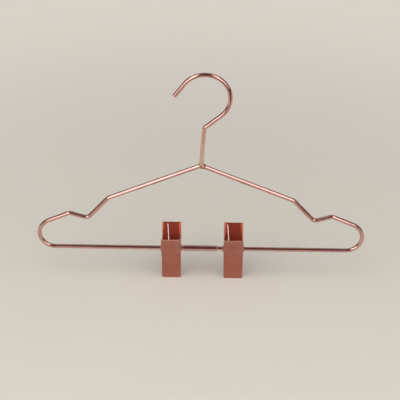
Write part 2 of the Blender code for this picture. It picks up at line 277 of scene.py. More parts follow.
@dataclass
class Skin:
    """A mesh in the making.

    Each point keeps its lay, which is where it was on the straight wire or the flat sheet, its rim, which is 1
    on a cut edge and 0 away from it, and its inner mark, which is 1 on the inside of a folded sheet.
    """

    points: list[Vector] = field(default_factory=list)
    lays: list[Vector] = field(default_factory=list)
    rims: list[float] = field(default_factory=list)
    inners: list[float] = field(default_factory=list)
    faces: list[tuple[int, ...]] = field(default_factory=list)

    def ring(
        self,
        points: Iterable[Vector],
        lays: Iterable[Vector],
        rim: float | Sequence[float],
        inner: Sequence[float] | None = None,
    ) -> list[int]:
        """Adds a closed row of points.

        Args:
            points: where they are.
            lays: their lays.
            rim: their nearness to a cut edge, one for all or one each.
            inner: their inner marks, where they have any.

        Returns:
            The points' numbers.
        """
        start = len(self.points)
        self.points += list(points)
        self.lays += list(lays)
        count = len(self.points) - start
        self.rims += [rim] * count if isinstance(rim, float) else list(rim)
        self.inners += inner or [0.0] * count
        return list(range(start, start + count))

    def bridge(self, rings: Sequence[Sequence[int]]) -> None:
        """Faces between each closed row and the next, all of equal count.

        Args:
            rings: the rows, as their points' numbers.
        """
        for first, second in zip(rings, rings[1:]):
            for i in range(len(first)):
                self.faces.append((first[i - 1], first[i], second[i], second[i - 1]))

    def cap(self, ring: Sequence[int]) -> None:
        """One face over the end of a closed row."""
        self.faces.append(tuple(ring))

    def strip_cap(self, ring: Sequence[int]) -> None:
        """Faces over the end of a bent sheet, whose row goes out along one skin and back along the other."""
        for i in range(len(ring) // 2 - 1):
            self.faces.append((ring[i], ring[i + 1], ring[-2 - i], ring[-1 - i]))

    def make(self, name: str) -> bpy.types.Object:
        """Makes the object, smooth but for its sharp edges.

        Args:
            name: what to call it.

        Returns:
            The object, in the scene.
        """
        mesh = bpy.data.meshes.new(name)
        mesh.from_pydata([tuple(point) for point in self.points], [], self.faces)
        lay = mesh.attributes.new("lay", "FLOAT_VECTOR", "POINT")
        lay.data.foreach_set("vector", [value for one in self.lays for value in one])
        for label, values in (("rim", self.rims), ("inner", self.inners)):
            mark = mesh.attributes.new(label, "FLOAT", "POINT")
            mark.data.foreach_set("value", values)
        turn_outwards(mesh)
        return put_in_scene(name, mesh)


def turn_outwards(mesh: bpy.types.Mesh) -> None:
    """Faces a closed mesh outwards and shades it smooth but for its sharp edges.

    Args:
        mesh: the mesh.
    """
    shape = bmesh.new()
    shape.from_mesh(mesh)
    bmesh.ops.recalc_face_normals(shape, faces=shape.faces)
    if shape.calc_volume(signed=True) < 0:
        bmesh.ops.reverse_faces(shape, faces=shape.faces)
    shape.to_mesh(mesh)
    shape.free()
    mesh.shade_smooth()
    mesh.set_sharp_from_angle(angle=SOFT_EDGE)


@dataclass(frozen=True)
class Slice:
    """A cross-section of a wire: its middle, two ways across it, its radius, its place along and its rim."""

    middle: Vector
    across: Vector
    up: Vector
    radius: float
    along: float
    rim: float = 0.0


def rounded_end(end: Slice, way: Vector, sign: int, nose: float) -> list[Slice]:
    """A wire's cut end, slightly rounded.

    Args:
        end: the slice at the very end.
        way: the way that the wire runs there.
        sign: 1 at the wire's start and -1 at its end.
        nose: how far the end is rounded.

    Returns:
        The end's slices, in the wire's own order. The rim fades over them.
    """
    fade = 0.2
    slices = []
    for k in range(NOSE_STEPS + 1):
        angle = pi / 2 * k / NOSE_STEPS
        back = sign * nose * (1 - sin(angle))
        radius = end.radius - nose * (1 - cos(angle))
        rim = 1.0 - fade * (NOSE_STEPS - k)
        middle = end.middle + way * back
        slices.append(replace(end, middle=middle, radius=radius, along=end.along + back, rim=rim))
    return slices[::-sign]


def drawn_wire(name: str, path: Sequence[Vector], radius: float, sides: int, nose: float) -> bpy.types.Object:
    """A round wire along a path, its cut ends slightly rounded.

    Args:
        name: the object's name.
        path: the wire's centre line.
        radius: the wire's radius.
        sides: how many faces go round it.
        nose: how far its ends are rounded.

    Returns:
        The object.
    """
    path = with_rests(path, radius / 2)
    ways = ways_along(path)
    off_every_run = Vector((0.31, 0.9, 0.27))
    across = ways[0].cross(off_every_run).normalized()
    travelled = 0.0
    slices: list[Slice] = []
    for i, (point, way) in enumerate(zip(path, ways)):
        if i:
            travelled += (point - path[i - 1]).length
            across = ways[i - 1].rotation_difference(way) @ across
        across = (across - way * across.dot(way)).normalized()
        here = Slice(point, across, way.cross(across), radius, travelled)
        at_end = i in (0, len(path) - 1)
        slices += rounded_end(here, way, -1 if i else 1, nose) if at_end else [here]
    skin = Skin()
    rings = []
    for one in slices:
        spots = evenly_round(one.radius, sides)
        points = [one.middle + one.across * x + one.up * y for x, y in spots]
        rings.append(skin.ring(points, [Vector((x, y, one.along)) for x, y in spots], one.rim))
    skin.bridge(rings)
    skin.cap(rings[0])
    skin.cap(rings[-1])
    return skin.make(name)


def turned(name: str, profile: Profile, origin: Vector, axis: Vector) -> bpy.types.Object:
    """A closed profile turned round an axis that lies in the hanger's plane.

    Args:
        name: the object's name.
        profile: (along, radius, rim) of each corner, going round the section.
        origin: where along is 0.
        axis: the axis's way.

    Returns:
        The object.
    """
    skin = Skin()
    across = Vector((0, 1, 0))
    up = axis.cross(across)
    rings = []
    for x, y in evenly_round(1.0, TURNED_SIDES):
        outwards = across * x + up * y
        points = [origin + axis * along + outwards * radius for along, radius, _ in profile]
        lays = [Vector((radius * x, radius * y, along)) for along, radius, _ in profile]
        rings.append(skin.ring(points, lays, [rim for _, _, rim in profile]))
    skin.bridge(rings + rings[:1])
    return skin.make(name)


class Tree:
    """Places nodes in one node tree and joins them."""

    def __init__(self, tree: bpy.types.NodeTree) -> None:
        """Starts from an empty tree."""
        self.tree = tree
        tree.nodes.clear()

    def add(self, kind: str, inputs: dict[Any, Any] | None = None, **settings: Any) -> bpy.types.Node:
        """Places one node.

        Args:
            kind: the node's type.
            inputs: a value, a colour or another node's output, for each named or numbered input.
            settings: the node's own properties.

        Returns:
            The node.
        """
        node = self.tree.nodes.new(kind)
        node.location = (NODE_SPACING * len(self.tree.nodes), 0)
        for name, value in settings.items():
            setattr(node, name, value)
        for name, value in (inputs or {}).items():
            socket = node.inputs[name]
            if isinstance(value, Socket):
                self.tree.links.new(value, socket)
            else:
                socket.default_value = (*value, 1.0) if socket.type == "RGBA" else value
        return node

    def effect(self, group: bpy.types.NodeTree, inputs: dict[str, Any]) -> Any:
        """The outputs of a shared effect, placed with its own values."""
        return self.add("ShaderNodeGroup", inputs, node_tree=group).outputs

    def mark(self, name: str, output: str = "Fac") -> Socket:
        """What the mesh keeps at each point under a name."""
        return self.add("ShaderNodeAttribute", attribute_name=name).outputs[output]

    def place(self) -> Socket:
        """Where a point is in the hanger's own frame."""
        return self.add("ShaderNodeTexCoord").outputs["Object"]

    def noise(self, place: Socket, scale: Any, detail: float) -> Socket:
        """Soft noise, about 0.5 on average."""
        return self.add("ShaderNodeTexNoise", {"Vector": place, "Scale": scale, "Detail": detail}).outputs[0]

    def maths(self, operation: str, first: Any, second: Any) -> Socket:
        """One operation on two values."""
        return self.add("ShaderNodeMath", {0: first, 1: second}, operation=operation).outputs[0]

    def vectors(self, operation: str, first: Any, second: Any, output: str = "Vector") -> Socket:
        """One operation on two vectors."""
        return self.add("ShaderNodeVectorMath", {0: first, 1: second}, operation=operation).outputs[output]

    def average(self, first: Any, second: Any) -> Socket:
        """The value halfway between two."""
        return self.add("ShaderNodeMix", {0: 0.5, 2: first, 3: second}, data_type="FLOAT").outputs[0]

    def blend(self, share: Any, first: Any, second: Any) -> Socket:
        """A colour between two, by a share."""
        return self.add("ShaderNodeMix", {0: share, 6: first, 7: second}, data_type="RGBA").outputs[2]

    def carry(
        self,
        value: Socket,
        start: float = 0.0,
        end: float = 1.0,
        low: float = 0.0,
        high: float = 1.0,
        eased: bool = False,
    ) -> Socket:
        """Carries a value from one range to another.

        Args:
            value: the value.
            start: one end of the range that it has.
            end: the other end.
            low: what the start becomes.
            high: what the end becomes.
            eased: whether it leaves and reaches both softly.

        Returns:
            The new value, which stays between low and high.
        """
        ranges = {"Value": value, "From Min": start, "From Max": end, "To Min": low, "To Max": high}
        kind = "SMOOTHSTEP" if eased else "LINEAR"
        return self.add("ShaderNodeMapRange", ranges, interpolation_type=kind).outputs["Result"]

    def relief(self, height: Socket, strength: float, depth: float) -> Socket:
        """The normals of a fine relief."""
        inputs = {"Height": height, "Strength": strength, "Distance": depth}
        return self.add("ShaderNodeBump", inputs).outputs[0]

    def seen_by_camera(self) -> Socket:
        """1 for what the camera itself sees, and 0 for what lights or shows in something else."""
        return self.add("ShaderNodeLightPath").outputs["Is Camera Ray"]

    def mix_shaders(self, share: Any, first: bpy.types.Node, second: bpy.types.Node) -> bpy.types.Node:
        """A shader between two, by a share."""
        return self.add("ShaderNodeMixShader", {0: share, 1: first.outputs[0], 2: second.outputs[0]})

    def surface(self, shader: bpy.types.Node) -> None:
        """Puts a shader on the material's surface."""
        self.add("ShaderNodeOutputMaterial", {"Surface": shader.outputs[0]})


def start_material(name: str) -> tuple[bpy.types.Material, Tree]:
    """Starts a material.

    Args:
        name: its name.

    Returns:
        The material, and its still empty tree.
    """
    material = bpy.data.materials.new(name)
    material.use_nodes = True
    return material, Tree(material.node_tree)


class Effect(Enum):
    """The effects that several finishes share, each a node group."""

    DRAWN_LINES = "drawn_lines"
    CLOUDING = "clouding"
    RUBBED_EDGE = "rubbed_edge"
    HEAT_TINT = "heat_tint"


class Effects:
    """Builds each shared effect once and hands it out."""

    def __init__(self) -> None:
        """Builds the four node groups."""
        self.groups = {
            Effect.DRAWN_LINES: self.drawn_lines(),
            Effect.CLOUDING: self.clouding(),
            Effect.RUBBED_EDGE: self.rubbed_edge(),
            Effect.HEAT_TINT: self.heat_tint(),
        }

    def __getitem__(self, effect: Effect) -> bpy.types.NodeTree:
        """The node group of one effect."""
        return self.groups[effect]

    @staticmethod
    def start(effect: Effect, inputs: dict[str, float | None]) -> tuple[Tree, Any]:
        """Starts a group.

        Args:
            effect: which effect it is for.
            inputs: each input's name, with its starting value, or with None for a vector.

        Returns:
            The group's tree, and its inputs by name.
        """
        group = bpy.data.node_groups.new(effect.value, "ShaderNodeTree")
        for name, value in inputs.items():
            kind = "NodeSocketVector" if value is None else "NodeSocketFloat"
            socket = group.interface.new_socket(name=name, in_out="INPUT", socket_type=kind)
            if value is not None:
                socket.default_value = value
        tree = Tree(group)
        return tree, tree.add("NodeGroupInput").outputs

    @staticmethod
    def finish(tree: Tree, outputs: dict[str, Socket]) -> bpy.types.NodeTree:
        """Finishes a group.

        Args:
            tree: the group's tree.
            outputs: each output's name, with the value that it puts out.

        Returns:
            The group.
        """
        for name in outputs:
            tree.tree.interface.new_socket(name=name, in_out="OUTPUT", socket_type="NodeSocketFloat")
        tree.add("NodeGroupOutput", outputs)
        return tree.tree

    def drawn_lines(self) -> bpy.types.NodeTree:
        """Fine lines along the wire or sheet, which drawing and rolling leave under the plating.

        Returns:
            The group.
        """
        tree, given = self.start(Effect.DRAWN_LINES, {"Lay": None, "Across": 4000.0, "Along": 120.0})
        across, along = given["Across"], given["Along"]
        scales = tree.add("ShaderNodeCombineXYZ", {"X": across, "Y": across, "Z": along}).outputs[0]
        stretched = tree.vectors("MULTIPLY", given["Lay"], scales)
        lines = tree.carry(tree.noise(stretched, scale=1.0, detail=3.0), start=0.3, end=0.7)
        return self.finish(tree, {"Lines": lines})

    def clouding(self) -> bpy.types.NodeTree:
        """Soft patches where the plating bath left the coat thicker, and finer specks among them.

        Returns:
            The group.
        """
        tree, given = self.start(Effect.CLOUDING, {"Lay": None, "Patch Scale": 60.0, "Speck Scale": 900.0})
        patches = tree.noise(given["Lay"], given["Patch Scale"], detail=2.0)
        specks = tree.noise(given["Lay"], given["Speck Scale"], detail=4.0)
        soft = tree.carry(patches, start=0.35, end=0.65, eased=True)
        return self.finish(tree, {"Patches": soft, "Specks": specks})

    def rubbed_edge(self) -> bpy.types.NodeTree:
        """A thin line along cut edges: wear of the plating, with a painted highlight where edges catch light.

        Returns:
            The group.
        """
        tree, given = self.start(Effect.RUBBED_EDGE, {"Rim": 0.0, "Lay": None, "Scale": 700.0})
        reach = tree.maths("MULTIPLY", given["Rim"], tree.noise(given["Lay"], given["Scale"], detail=3.0))
        return self.finish(tree, {"Rubbed": tree.carry(reach, start=0.1, end=0.45, eased=True)})

    def heat_tint(self) -> bpy.types.NodeTree:
        """A soft spot round a place that was once hot, where the plating has turned.

        Returns:
            The group.
        """
        tree, given = self.start(Effect.HEAT_TINT, {"Place": None, "Middle": None, "Reach": 0.03})
        away = tree.vectors("DISTANCE", given["Place"], given["Middle"], "Value")
        share = tree.maths("DIVIDE", away, given["Reach"])
        return self.finish(tree, {"Heated": tree.carry(share, start=1.0, end=0.6, eased=True)})


@dataclass(frozen=True)
class Plating:
    """Copper-coloured plating on steel, with its clouds, its fine lines and its edge wear with a painted
    highlight.

    Inside a folded sheet it takes a darker, redder colour, which is painted shade for the recess between the
    jaws, and near the neck the heated one. A finish that has neither colour stays as it is there.
    """

    name: str
    tint: Colour
    deep: Colour
    gloss_low: float
    gloss_high: float
    across: float
    along: float
    relief: float
    coat: float
    # Painted shade: a darker, redder colour for the inside of a folded sheet, where the recess between the
    # jaws lies in shade.
    pooled: Colour | None = None
    heated: Colour | None = None
    # The colour of cut edges, lighter than the sheet: wear of the plating, and on the sheet a painted
    # highlight where the edges catch light.
    rubbed: Colour = (0.66, 0.34, 0.27)
    pooled_dulling: float = 0.12
    rubbed_dulling: float = 0.2
    patch_scale: float = 70.0
    speck_scale: float = 1500.0
    rub_scale: float = 900.0
    relief_depth: float = 0.00005
    coat_roughness: float = 0.08

    def make(self, effects: Effects) -> bpy.types.Material:
        """Builds the material.

        Args:
            effects: the shared node groups.

        Returns:
            The material.
        """
        material, tree = start_material(self.name)
        lay = tree.mark("lay", "Vector")
        drawing = {"Lay": lay, "Across": self.across, "Along": self.along}
        lines = tree.effect(effects[Effect.DRAWN_LINES], drawing)["Lines"]
        scales = {"Lay": lay, "Patch Scale": self.patch_scale, "Speck Scale": self.speck_scale}
        cloud = tree.effect(effects[Effect.CLOUDING], scales)
        # Painted highlight with wear: a thin, nearly unbroken line of the edge colour along cut edges.
        rub_and_highlight_inputs = {"Rim": tree.mark("rim"), "Lay": lay, "Scale": self.rub_scale}
        rub_and_highlight = tree.effect(effects[Effect.RUBBED_EDGE], rub_and_highlight_inputs)["Rubbed"]
        base = tree.blend(cloud["Patches"], self.tint, self.deep)
        gloss = tree.carry(tree.average(lines, cloud["Specks"]), low=self.gloss_low, high=self.gloss_high)
        # Painted shade: the inside of a folded sheet takes the darker, redder recess colour; its extra
        # roughness is a real dulling.
        if self.pooled:
            inner = tree.mark("inner")
            base = tree.blend(inner, base, self.pooled)
            gloss = tree.maths("ADD", gloss, tree.carry(inner, high=self.pooled_dulling))
        if self.heated:
            heating = {"Place": tree.place(), "Middle": HOT_SPOT, "Reach": HOT_REACH}
            base = tree.blend(tree.effect(effects[Effect.HEAT_TINT], heating)["Heated"], base, self.heated)
        shader = {
            "Base Color": tree.blend(rub_and_highlight, base, self.rubbed),
            "Metallic": 1.0,
            "Roughness": tree.maths("ADD", gloss, tree.carry(rub_and_highlight, high=self.rubbed_dulling)),
            "Normal": tree.relief(lines, self.relief, self.relief_depth),
            "Coat Weight": self.coat,
            "Coat Roughness": self.coat_roughness,
        }
        tree.surface(tree.add("ShaderNodeBsdfPrincipled", shader))
        return material


@dataclass(frozen=True)
class SpringSteel:
    """Bright coiled steel, lightly flashed with the same plating."""

    name: str
    bright: Colour
    dull: Colour
    gloss_low: float = 0.2
    gloss_high: float = 0.3
    across: float = 9000.0
    along: float = 200.0
    patch_scale: float = 250.0
    relief: float = 0.1
    relief_depth: float = 0.00001

    def make(self, effects: Effects) -> bpy.types.Material:
        """Builds the material.

        Args:
            effects: the shared node groups.

        Returns:
            The material.
        """
        material, tree = start_material(self.name)
        lay = tree.mark("lay", "Vector")
        drawing = {"Lay": lay, "Across": self.across, "Along": self.along}
        lines = tree.effect(effects[Effect.DRAWN_LINES], drawing)["Lines"]
        cloud = tree.effect(effects[Effect.CLOUDING], {"Lay": lay, "Patch Scale": self.patch_scale})
        shader = {
            "Base Color": tree.blend(cloud["Patches"], self.bright, self.dull),
            "Metallic": 1.0,
            "Roughness": tree.carry(lines, low=self.gloss_low, high=self.gloss_high),
            "Normal": tree.relief(lines, self.relief, self.relief_depth),
        }
        tree.surface(tree.add("ShaderNodeBsdfPrincipled", shader))
        return material


@dataclass(frozen=True)
class GripRubber:
    """Soft dark rubber with a fine matt skin and a little dust in its ridges."""

    name: str
    body: Colour
    dusty: Colour
    gloss_low: float = 0.55
    gloss_high: float = 0.85
    patch_scale: float = 300.0
    speck_scale: float = 5000.0
    relief: float = 0.3
    relief_depth: float = 0.0001

    def make(self, effects: Effects) -> bpy.types.Material:
        """Builds the material.

        Args:
            effects: the shared node groups.

        Returns:
            The material.
        """
        material, tree = start_material(self.name)
        scales = {"Lay": tree.place(), "Patch Scale": self.patch_scale, "Speck Scale": self.speck_scale}
        cloud = tree.effect(effects[Effect.CLOUDING], scales)
        shader = {
            "Base Color": tree.blend(cloud["Patches"], self.body, self.dusty),
            "Roughness": tree.carry(cloud["Specks"], low=self.gloss_low, high=self.gloss_high),
            "Normal": tree.relief(cloud["Specks"], self.relief, self.relief_depth),
        }
        tree.surface(tree.add("ShaderNodeBsdfPrincipled", shader))
        return material


class Finishes:
    """Every material of the hanger, made once."""

    def __init__(self) -> None:
        """Makes the materials."""
        effects = Effects()
        self.wire = Plating(
            "copper_plated_wire",
            tint=(0.71, 0.415, 0.385),
            deep=(0.64, 0.355, 0.325),
            gloss_low=0.08,
            gloss_high=0.16,
            across=3500.0,
            along=60.0,
            relief=0.06,
            coat=0.1,
            heated=(0.76, 0.49, 0.395),
        ).make(effects)
        self.sheet = Plating(
            "copper_plated_sheet",
            tint=(0.50, 0.185, 0.138),
            deep=(0.44, 0.155, 0.115),
            gloss_low=0.16,
            gloss_high=0.24,
            across=2600.0,
            along=260.0,
            relief=0.1,
            coat=0.15,
            # Painted shade for the jaws' insides, darker and redder than the plating.
            pooled=(0.39, 0.07, 0.042),
        ).make(effects)
        self.weld = Plating(
            "brazed_joint",
            tint=(0.55, 0.28, 0.18),
            deep=(0.42, 0.20, 0.12),
            gloss_low=0.25,
            gloss_high=0.45,
            across=1800.0,
            along=900.0,
            relief=0.4,
            coat=0.0,
            heated=(0.62, 0.37, 0.26),
        ).make(effects)
        self.spring = SpringSteel(
            "spring_steel_bright", bright=(0.80, 0.64, 0.60), dull=(0.72, 0.55, 0.51)
        ).make(effects)
        self.rubber = GripRubber(
            "grip_rubber_matt", body=(0.045, 0.035, 0.03), dusty=(0.09, 0.075, 0.065)
        ).make(effects)


def settle(piece: bpy.types.Object, finish: bpy.types.Material, node: str) -> None:
    """Gives a piece its finish and lets it stand for a CAD node.

    Args:
        piece: the piece.
        finish: its material.
        node: the CAD node that it takes the place of.
    """
    piece.data.materials.clear()
    piece.data.materials.append(finish)
    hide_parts(node)
    LOG.info("%s stands for %s: %d faces", piece.name, node, len(piece.data.polygons))


@dataclass(frozen=True)
class WireFrame:
    """The two bent wires, the brazed bead at the neck and the sleeve on the bar.

    Its flat points lie in the hanger's plane, and count from the bar's middle. The shares are of the half span
    and of the junction's height.
    """

    finishes: Finishes
    half_span: float = 0.17275
    junction_height: float = 0.1015
    loop_radius: float = 0.0167
    shoulder_shares: tuple[float, float] = (0.5685, 0.599)
    notch_shares: tuple[float, float] = (0.6975, 0.356)
    lip_shares: tuple[float, float] = (0.809, 0.413)
    shoulder_bend: float = 0.008
    notch_bend: float = 0.006
    neck_bend: float = 0.004
    hook_radius: float = 0.026
    hook_rise: float = 0.0783
    hook_offset: float = 0.0036
    hook_tip_length: float = 0.0176
    hook_tip_angle: float = radians(143)
    hook_exit_angle: float = radians(-50)
    crank_out: float = 0.0032
    crank_bend: float = 0.005
    joint_gap: float = 0.0003
    cut_end: float = 0.0005
    sleeve_length: float = 0.0368
    sleeve_shift: float = -0.0005
    sleeve_wall: float = 0.0006
    sleeve_lip: float = 0.00025
    sleeve_inner_rim: float = 0.6
    bead_length: float = 0.0052
    bead_height: float = 0.0005
    bead_ripple: float = 0.00003
    bead_waves: float = 25.0
    bead_fall_from: float = 0.35
    bead_inside: float = 0.9
    bead_foot: float = 0.985
    bead_rim: float = 0.3
    bead_steps: int = 36

    @property
    def junction(self) -> Vector:
        """Where the shoulders and the neck meet, as a flat point."""
        return Vector((0.0, self.junction_height))

    def side_route(self, side: Side, bar_end: float) -> Route:
        """One side's corners, from the shoulder round the notch and the end loop to the bar's end.

        Args:
            side: which half.
            bar_end: where on the bar the wire ends.

        Returns:
            Flat points with their bends' radii.
        """
        shares = (self.shoulder_shares, self.notch_shares, self.lip_shares)
        corners = [Vector((a * self.half_span, b * self.junction_height)) for a, b in shares]
        centre = Vector((self.half_span - self.loop_radius, self.loop_radius))
        to_lip = corners[-1] - centre
        first = atan2(to_lip.y, to_lip.x) - acos(self.loop_radius / to_lip.length)
        route = list(zip(corners, (self.shoulder_bend, self.notch_bend, self.notch_bend)))
        route += [(point, 0.0) for point in arc(centre, self.loop_radius, first, -pi / 2)]
        return [(Vector((p.x * side.value, p.y)), r) for p, r in route] + [(Vector((bar_end, 0.0)), 0.0)]

    def hook_route(self) -> Route:
        """The hook's corners, from its tip to the crank above the neck.

        Returns:
            Flat points with their bends' radii.
        """
        centre = Vector((self.hook_offset, self.junction_height + self.hook_rise))
        curve = arc(centre, self.hook_radius, self.hook_tip_angle, self.hook_exit_angle)
        to_tip = Vector((-sin(self.hook_tip_angle), cos(self.hook_tip_angle)))
        away = Vector((sin(self.hook_exit_angle), -cos(self.hook_exit_angle)))
        crank = curve[-1] + away * ((self.crank_out - curve[-1].x) / away.x)
        tip = curve[0] + to_tip * self.hook_tip_length
        return [(point, 0.0) for point in [tip] + curve] + [(crank, self.crank_bend)]

    def build_wire(self, name: str, route: Route, node: str) -> None:
        """Draws one of the two wires.

        Args:
            name: the piece's name.
            route: its flat points with their bends' radii.
            node: the CAD node that it stands for.
        """
        path = follow([(upright(point), radius) for point, radius in route])
        wire = drawn_wire(name, path, WIRE_RADIUS, WIRE_SIDES, self.cut_end)
        settle(wire, self.finishes.wire, node)
        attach(wire, "frame")

    def build_bead(self) -> None:
        """The brazed bead, highest against the neck, with the ripples that a torch leaves."""
        way = (self.side_route(Side.RIGHT, 0.0)[0][0] - self.junction).normalized()
        top = WIRE_RADIUS + self.joint_gap + self.bead_height
        foot = WIRE_RADIUS * self.bead_foot
        inside = WIRE_RADIUS * self.bead_inside
        profile = [(0.0, inside, 0.0)]
        for share in [i / self.bead_steps for i in range(self.bead_steps + 1)]:
            fall = smooth_share((share - self.bead_fall_from) / (1 - self.bead_fall_from))
            ripple = self.bead_ripple * (1 + sin(share * self.bead_waves)) * (1 - fall)
            radius = top - ripple - (top - foot) * fall
            profile.append((self.bead_length * share, radius, self.bead_rim * fall))
        profile.append((self.bead_length, inside, 0.0))
        bead = turned("neck_bead_brazed", profile, upright(self.junction), Vector((way.x, 0.0, way.y)))
        settle(bead, self.finishes.weld, "neck_weld")
        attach(bead, "frame")

    def build_sleeve(self) -> None:
        """The sleeve over the wires' ends, its lips rolled in a little."""
        bore = WIRE_RADIUS + self.joint_gap
        outer = bore + self.sleeve_wall
        half = self.sleeve_length / 2
        lip = self.sleeve_lip
        small = lip / 2
        inside = arc(Vector((half - small, bore + small)), small, -pi / 2, 0, radians(30))
        outside = arc(Vector((half - lip, outer - lip)), lip, 0, pi / 2, radians(18))
        end = [(p.x, p.y, self.sleeve_inner_rim) for p in inside] + [(p.x, p.y, 1.0) for p in outside]
        end.append((half - 4 * lip, outer, 0.0))
        profile = [(-along, radius, rim) for along, radius, rim in end[::-1]] + end
        origin = BAR_MIDDLE + BAR_WAY * self.sleeve_shift
        sleeve = turned("joining_sleeve_turned", profile, origin, BAR_WAY)
        settle(sleeve, self.finishes.wire, "joining_sleeve")
        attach(sleeve, "frame")

    def dress(self) -> None:
        """Builds all four pieces of the frame."""
        left = self.side_route(Side.LEFT, self.sleeve_shift - self.joint_gap)
        right = self.side_route(Side.RIGHT, self.sleeve_shift + self.joint_gap)
        hook = self.hook_route() + [(self.junction, self.neck_bend)]
        self.build_wire("hook_wire_drawn", hook + left, "hook_wire")
        self.build_wire("right_wire_drawn", [(self.junction, 0.0)] + right, "right_wire")
        self.build_bead()
        self.build_sleeve()


@dataclass(frozen=True)
class Station:
    """One step along a jaw's sheet: its outer face's point, lean, flange depth and how far it is drawn in."""

    point: Vector
    lean: float
    depth: float
    drawn_in: float
    inset: float = 0.0
    rim: float = 0.0


@dataclass(frozen=True)
class Clip:
    """One clip: the rivet on the bar, two stamped jaws, the spring between them and their grip pads.

    Its flat points are seen from the side: how far out from the clip's middle and how far up from its pivot.
    """

    finishes: Finishes
    side: Side
    x: float
    spring_shift: float
    sheet: float = 0.0008
    width: float = 0.0210
    tip_width: float = 0.0202
    corner_radius: float = 0.0012
    corner_steps: int = 10
    band_width: float = 0.0025
    band_turn: float = radians(15)
    band_steps: int = 6
    finger_rise: float = 0.0203
    finger_spread: float = 0.0378
    finger_flange: float = 0.0017
    jaw_drop: float = 0.0360
    jaw_straight: float = 0.0148
    jaw_bend: float = 0.025
    jaw_out: float = 0.00285
    edge_gap: float = 0.0009
    edge_round: float = 0.0002
    edge_round_share: float = 0.6
    ear_radius: float = 0.005
    ear_foot_flange: float = 0.0054
    ear_steps: int = 4
    nest_gap: float = 0.0003
    roll_radius: float = 0.0015
    roll_turn: float = radians(32)
    inner_lay: float = 0.02
    pivot_bore: float = 0.00255
    pivot_radius: float = 0.00305
    running_gap: float = 0.0003
    head_height: float = 0.0007
    head_thickness: float = 0.0006
    head_roll_share: float = 0.45
    head_root: float = 0.0004
    head_flare: float = 0.0001
    mouth_round: float = 0.00035
    spring_wire: float = 0.0014
    spring_turns: int = 3
    spring_pitch: float = 0.00195
    spring_nose: float = 0.0002
    spring_steps: int = 30
    leg_inset: float = 0.0017
    leg_splay: float = 0.0013
    leg_hook: float = 0.0012
    leg_bend: float = 0.0009
    joint_gap: float = 0.0003

    @property
    def pivot(self) -> Vector:
        """The middle of the clip's pivot."""
        return BAR_MIDDLE + BAR_WAY * self.x

    @property
    def finger_end(self) -> Vector:
        """The end of the straight finger, before its roll, as a flat point."""
        return Vector((self.finger_spread / 2, self.finger_rise))

    @property
    def bend_centre(self) -> Vector:
        """The centre of the sheet's long bend, as a flat point."""
        return Vector((self.jaw_out + self.jaw_bend, self.jaw_straight - self.jaw_drop))

    @property
    def lean(self) -> float:
        """How far the straight finger leans outwards."""
        to_finger = self.finger_end - self.bend_centre
        return atan2(to_finger.y, -to_finger.x) - acos(self.jaw_bend / to_finger.length)

    def bend_point(self, lean: float) -> Vector:
        """The outer face's flat point on the long bend, where the sheet has that lean."""
        return self.bend_centre + self.jaw_bend * into_sheet(lean)

    def to_middle(self, point: Vector, lean: float) -> float:
        """The flange depth whose edge stops just short of the clip's middle."""
        return (point.x - self.edge_gap / 2) / cos(lean)

    def ear_tangent(self, point: Vector, centre: Vector, way: int) -> float:
        """Where a flange's edge from the point meets the ear's round, as an angle about the ear's centre."""
        away = point - centre
        return (atan2(away.y, away.x) - way * acos(self.ear_radius / away.length)) % (2 * pi)

    def half_width(self, height: float) -> float:
        """Half of the clip's width at a height from its pivot, full from the ears up and less at the tip."""
        share = min(1.0, (height + self.jaw_drop) / (self.jaw_drop - self.ear_radius))
        return (self.tip_width + (self.width - self.tip_width) * share) / 2

    def jaw_stations(self) -> list[Station]:
        """Steps from the jaw's rounded tip up its straight and round its bend.

        Returns:
            The stations.
        """
        steps = []
        for lift, inset, rim in (*CUT_EDGE, (3.5, 0.0, 0.0)):
            tip = Vector((self.jaw_out, self.edge_round * lift - self.jaw_drop))
            steps.append(Station(tip, 0.0, self.to_middle(tip, 0.0), 0.0, self.edge_round * inset, rim))
        count = ceil(self.lean / FINE_STEP) + 1
        for i in range(count + 1):
            angle = self.lean * i / count
            point = self.bend_point(angle)
            steps.append(Station(point, angle, self.to_middle(point, angle), smooth_share(i / count)))
        return steps

    def finger_stations(self) -> list[Station]:
        """Steps up the straight finger, whose flanges first go round the ears and then taper.

        Returns:
            The stations.
        """
        lean = self.lean
        start, along = self.bend_point(lean), up_sheet(lean)
        ear = Vector((-start.dot(along), -start.dot(into_sheet(lean))))
        low = Vector((0.0, self.to_middle(start, lean)))
        foot = Vector((ear.x + self.ear_radius * 3 / 2, self.ear_foot_flange))
        first, last = self.ear_tangent(low, ear, 1), self.ear_tangent(foot, ear, -1)
        places = [(place, 1.0) for place in arc(ear, self.ear_radius, first, last, radians(5))]
        top = on_circle(ear, self.ear_radius, last)
        nested = top.lerp(foot, (ear.x + self.ear_radius + self.nest_gap - top.x) / (foot.x - top.x))
        end = Vector(((self.finger_end - start).length, self.finger_flange))
        shares = [i / self.ear_steps for i in range(self.ear_steps + 1)]
        places += [(nested.lerp(foot, share), 1 - smooth_share(share)) for share in shares]
        places += [(foot.lerp(end, share), 0.0) for share in shares[1:]]
        return [Station(start + along * place.x, lean, place.y, drawn_in) for place, drawn_in in places]

    def roll_stations(self) -> list[Station]:
        """Steps round the finger's curled end, to its rounded edge.

        Returns:
            The stations.
        """
        lean = self.lean
        start = self.bend_point(lean)
        straight = up_sheet(lean) * (self.finger_end - start).length
        roll = start + straight - into_sheet(lean) * self.roll_radius
        total = self.roll_radius * self.roll_turn
        rounding = [(lift * self.edge_round / total, inset, rim) for lift, inset, rim in CUT_EDGE[::-1]]
        steps = []
        for back, inset, rim in [(0.55, 0.0, 0.0), (0.28, 0.0, 0.4)] + rounding:
            angle = lean + self.roll_turn * (1 - back)
            point = roll + self.roll_radius * into_sheet(angle)
            steps.append(Station(point, angle, self.finger_flange, 0.0, self.edge_round * inset, rim))
        return steps

